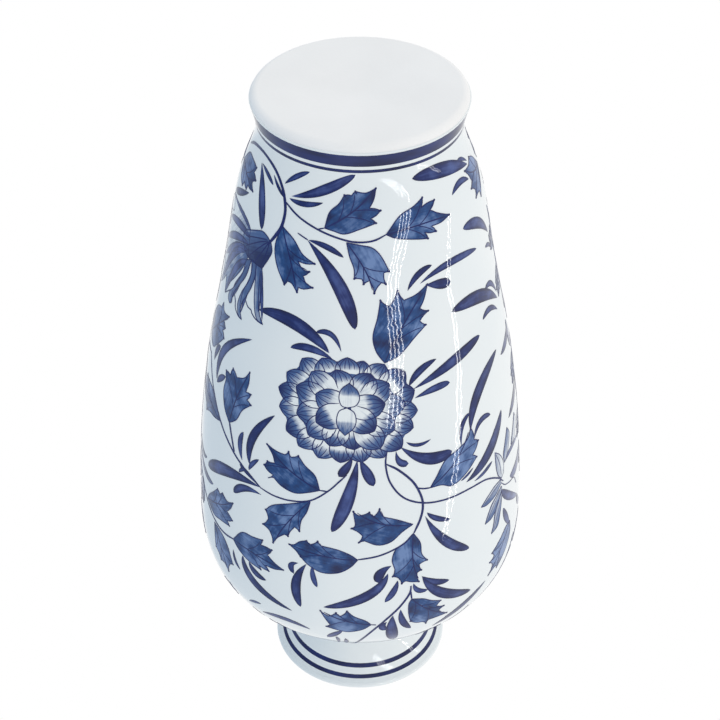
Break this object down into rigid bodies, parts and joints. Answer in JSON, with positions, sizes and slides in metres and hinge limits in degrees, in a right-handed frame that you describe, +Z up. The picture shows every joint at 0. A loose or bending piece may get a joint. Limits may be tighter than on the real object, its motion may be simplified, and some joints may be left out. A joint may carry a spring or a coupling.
{
  "type": "glazed pottery vase",
  "caption": "Tall baluster vase in white tin-glazed pottery with a flared lip, a narrow neck and a flat foot.",
  "frame": {"origin": "middle of the flat underside that the vase stands on", "axes": "+Z up the axis of revolution, from the foot to the mouth; the front of the painted pattern faces -Y"},
  "size_m": [0.1468, 0.1468, 0.305],
  "materials": {
    "bare_clay": "matte",
    "clay": "matte",
    "slip": "matte",
    "white_glaze": "gloss",
    "cobalt": "gloss"
  },
  "bodies": {
    "root": {"foot_disc": "bare_clay", "foot_slip": "slip", "lower_body": "clay", "body_slip": "slip", "upper_body": "clay", "neck_slip": "slip", "neck_collar": "clay", "outer_glaze": "white_glaze", "inner_glaze": "white_glaze", "foot_band": "cobalt", "foot_line": "cobalt", "neck_line": "cobalt", "lip_line": "cobalt"}
  },
  "joints": []
}
